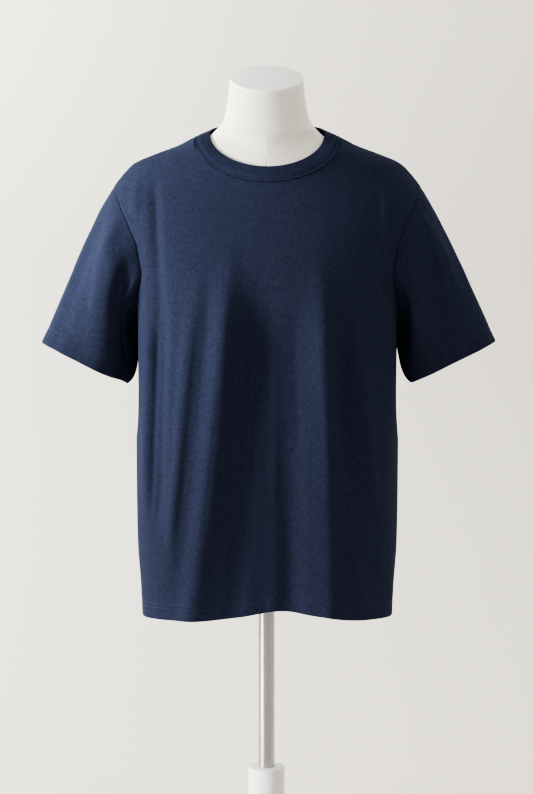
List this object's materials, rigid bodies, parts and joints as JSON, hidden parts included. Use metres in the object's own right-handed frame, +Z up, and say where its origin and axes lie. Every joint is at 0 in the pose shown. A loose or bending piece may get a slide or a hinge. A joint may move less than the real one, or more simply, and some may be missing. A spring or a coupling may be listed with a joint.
{
  "type": "crew neck t-shirt worn on a limbless dress form with a pole, post and round base",
  "caption": "Relaxed short-sleeve crew neck t-shirt, worn on a limbless dress form that stands on a height-adjustable pole and round base.",
  "frame": {"origin": "centre of the round base's underside, on the floor", "axes": "+Z up along the pole, the shirt's front faces -Y, the wearer's left sleeve lies at +X"},
  "size_m": [0.6851, 0.36, 1.5494],
  "materials": {
    "navy_jersey": "matte cotton jersey",
    "navy_rib": "matte cotton rib",
    "white_jersey": "smooth stretched cover",
    "white_cap": "matte",
    "white_paint": "satin white paint",
    "chromed_steel": "brushed chrome"
  },
  "bodies": {
    "stand": {"base_plate": "white_paint", "post": "white_paint"},
    "figure": {"pole": "chromed_steel", "form_flange": "white_paint", "form": "white_jersey", "neck_cap": "white_cap", "front": "navy_jersey", "back": "navy_jersey", "sleeve_left": "navy_jersey", "sleeve_right": "navy_jersey", "neckband": "navy_rib"}
  },
  "joints": [
    {"name": "height", "type": "slide", "parent": "stand", "child": "figure", "axis": [0, 0, 1], "range_m": [-0.2, 0.12]}
  ]
}
